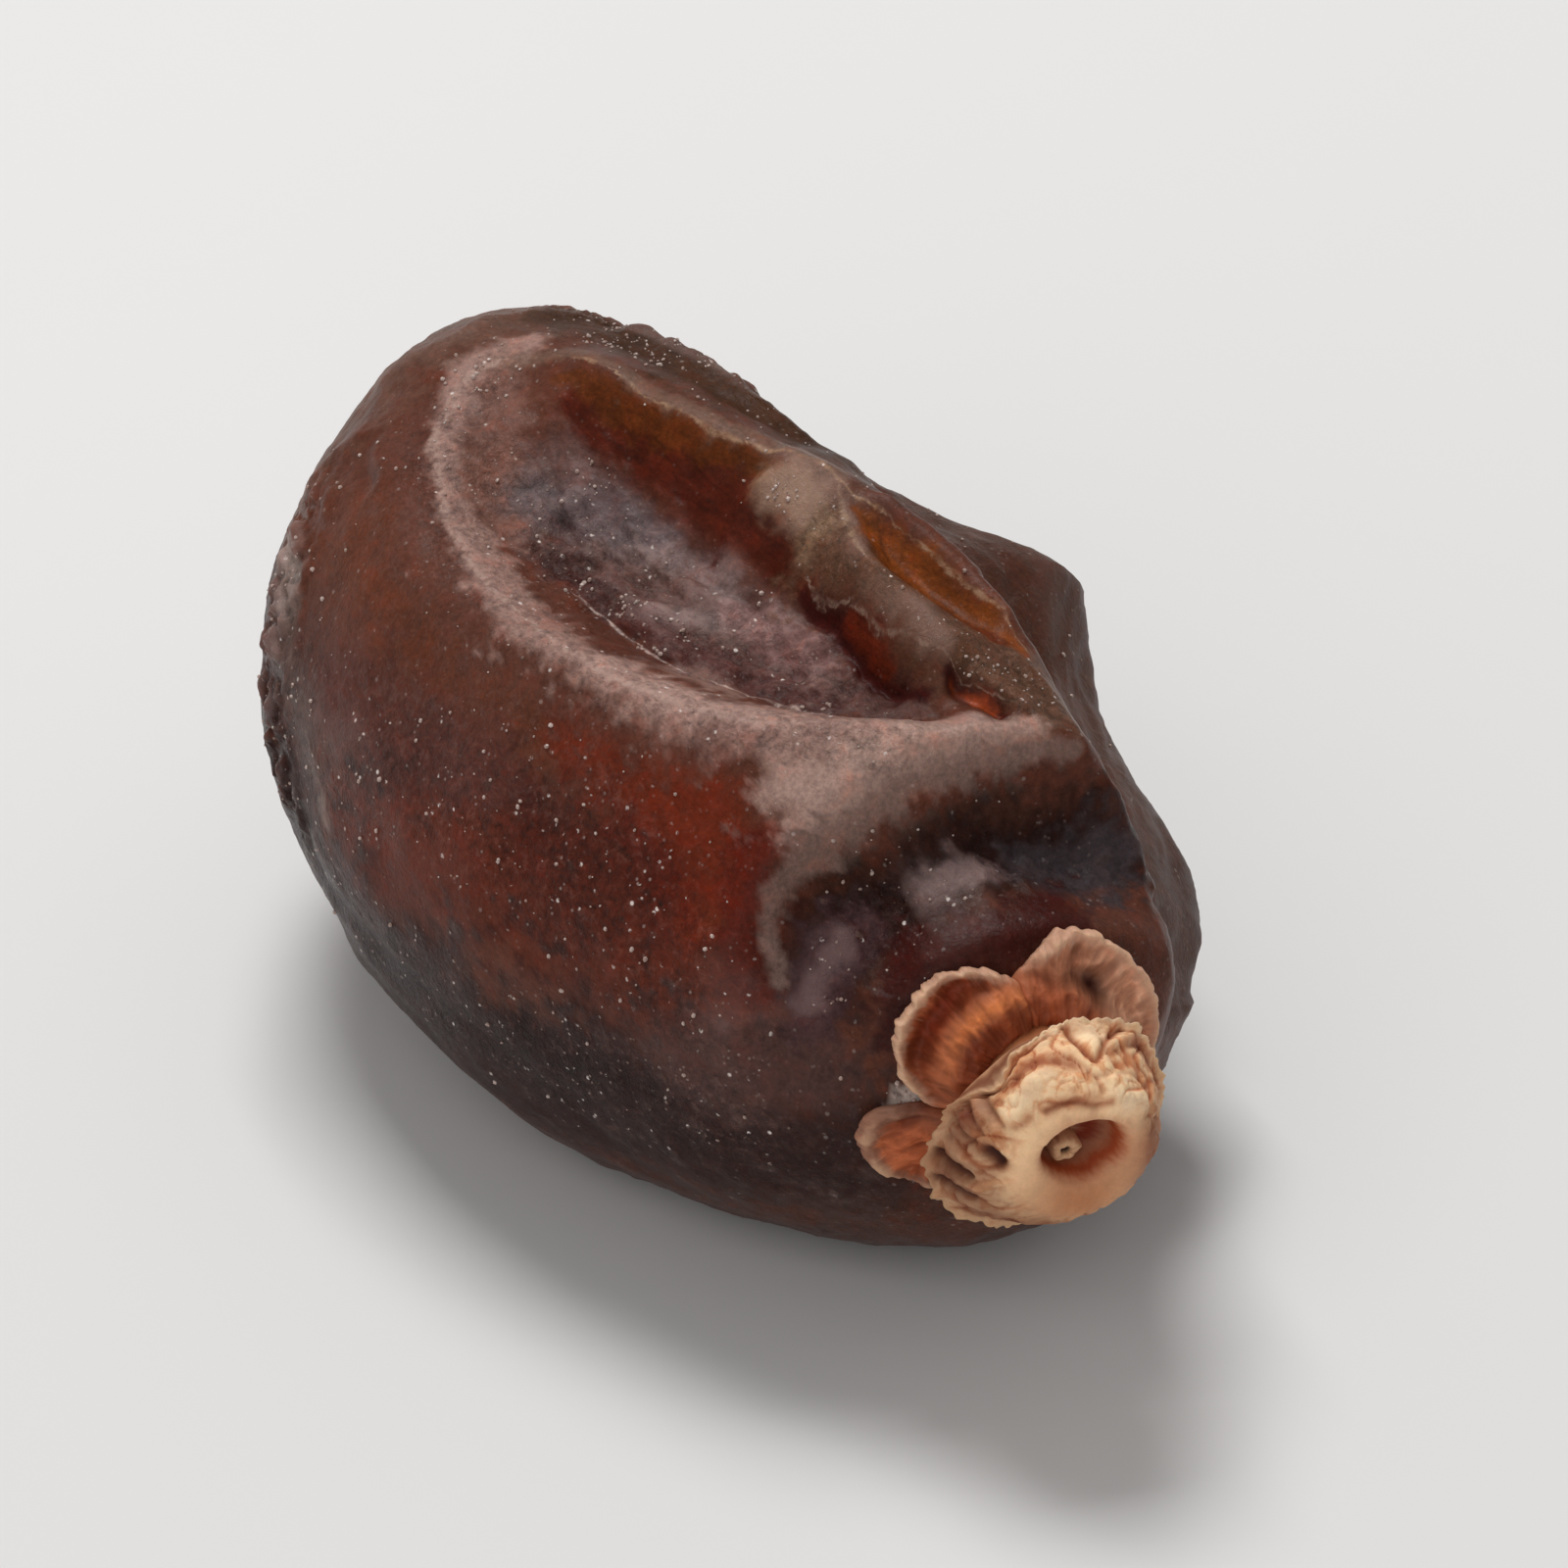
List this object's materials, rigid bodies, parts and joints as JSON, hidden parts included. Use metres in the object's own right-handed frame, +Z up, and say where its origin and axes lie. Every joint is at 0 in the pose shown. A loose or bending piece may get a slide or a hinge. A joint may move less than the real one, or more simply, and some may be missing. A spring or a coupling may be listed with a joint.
{
  "type": "date",
  "caption": "Dried date with a wrinkled, hollowed dark skin and its dry woody calyx on the stalk end, resting on a small flat spot underneath.",
  "frame": {"origin": "under the middle of the whole date, on the surface that it rests on", "axes": "+X along the date to its stalk end, which dips by four degrees, and +Z up from the resting surface"},
  "size_m": [0.0416, 0.0242, 0.021],
  "materials": {
    "skin": "satin",
    "husk": "matte",
    "petal": "matte",
    "strand": "matte"
  },
  "bodies": {
    "root": {"fruit": "skin", "calyx_cup": "husk", "petal_top": "petal", "petal_near": "petal", "petal_under": "petal", "stalk_core": "strand"}
  },
  "joints": []
}
